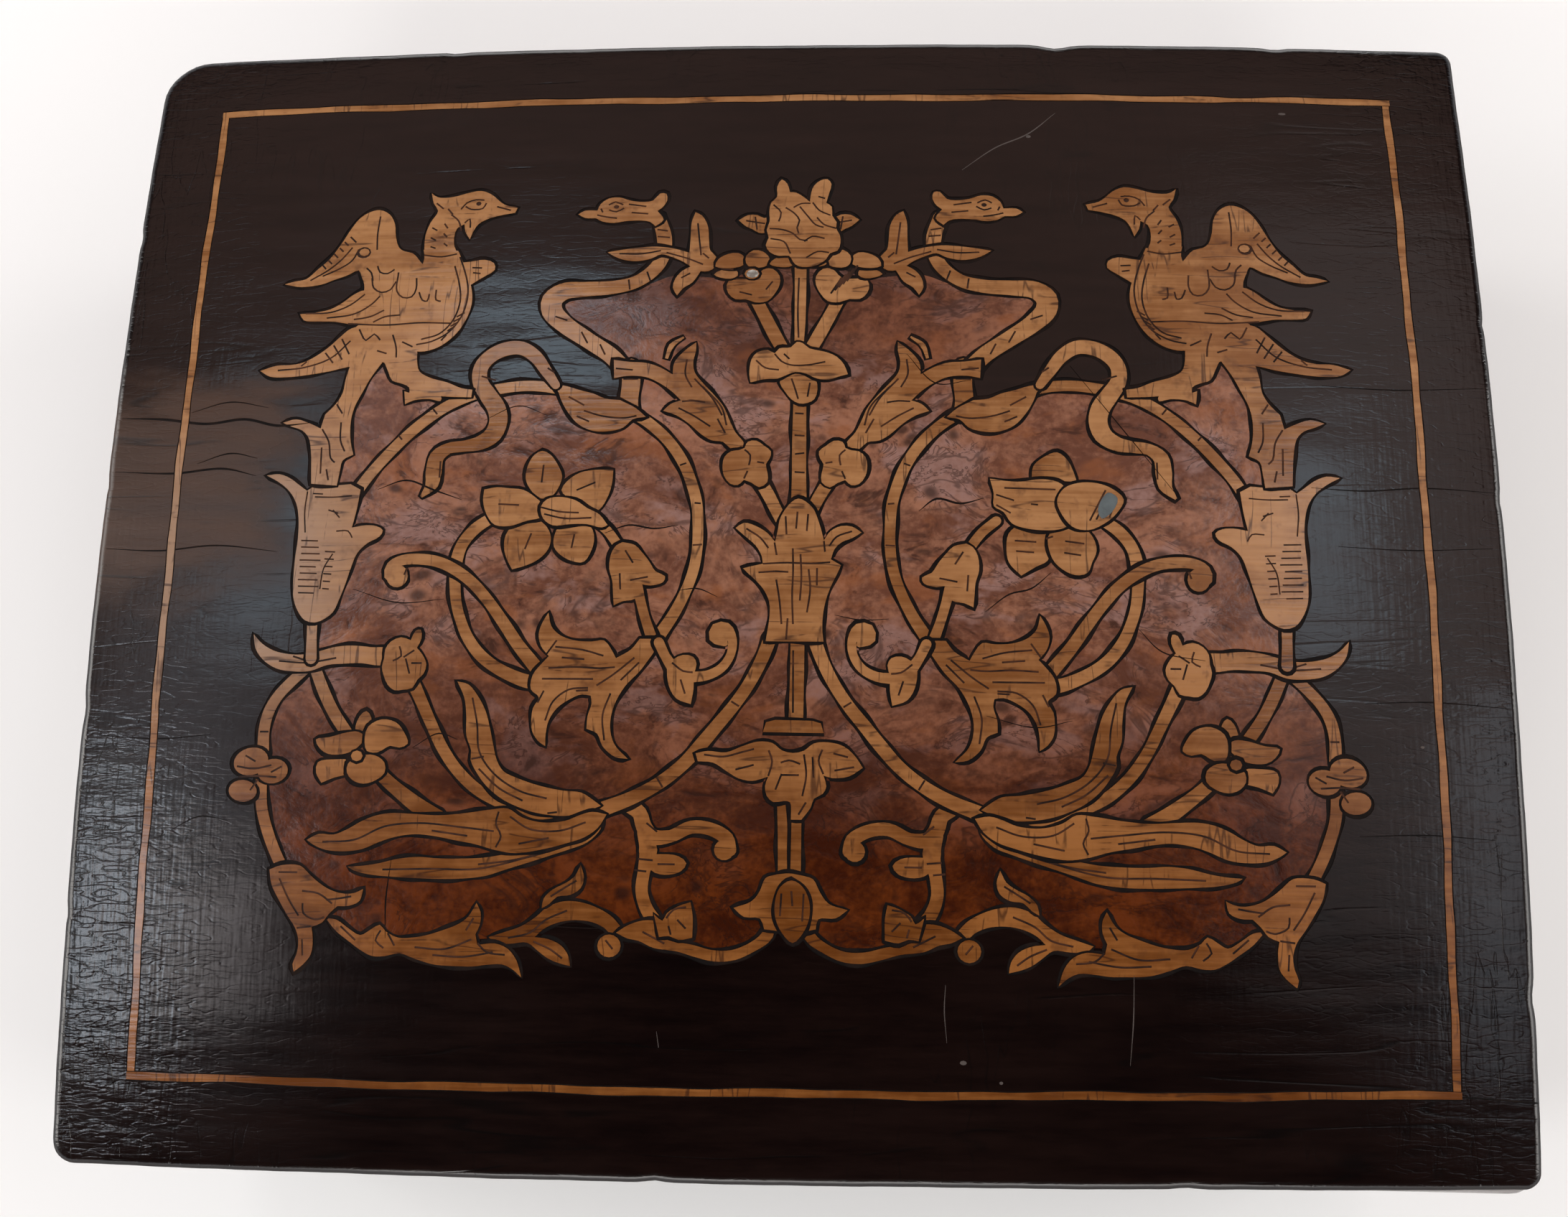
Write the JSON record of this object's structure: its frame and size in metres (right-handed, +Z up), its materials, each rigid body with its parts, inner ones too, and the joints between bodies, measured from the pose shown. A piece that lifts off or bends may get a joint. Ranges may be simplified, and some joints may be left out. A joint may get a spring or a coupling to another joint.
{
  "type": "trinket box",
  "caption": "Rectangular veneered wooden trinket box with a pillow-domed lift-off lid, inlaid with arabesque marquetry inside a line of light stringing.",
  "frame": {"origin": "middle of the underside, where the bottom board and the four box boards stand on the surface", "axes": "+X to the right along the long side, +Y from the front to the back, +Z up through the lid"},
  "size_m": [0.2414, 0.2016, 0.0981],
  "materials": {
    "rosewood": "dark rosewood veneer under old crazed polish",
    "carcass_wood": "plain brown wood, waxed",
    "boxwood": "light string inlay under polish"
  },
  "bodies": {
    "root": {"front_board": "rosewood", "back_board": "rosewood", "right_board": "rosewood", "left_board": "rosewood", "bottom_board": "carcass_wood", "lid_front_rim": "rosewood", "lid_back_rim": "rosewood", "lid_right_rim": "rosewood", "lid_left_rim": "rosewood", "lid_board": "rosewood", "front_stringing": "boxwood", "back_stringing": "boxwood", "left_stringing": "boxwood", "right_stringing": "boxwood"}
  },
  "joints": []
}
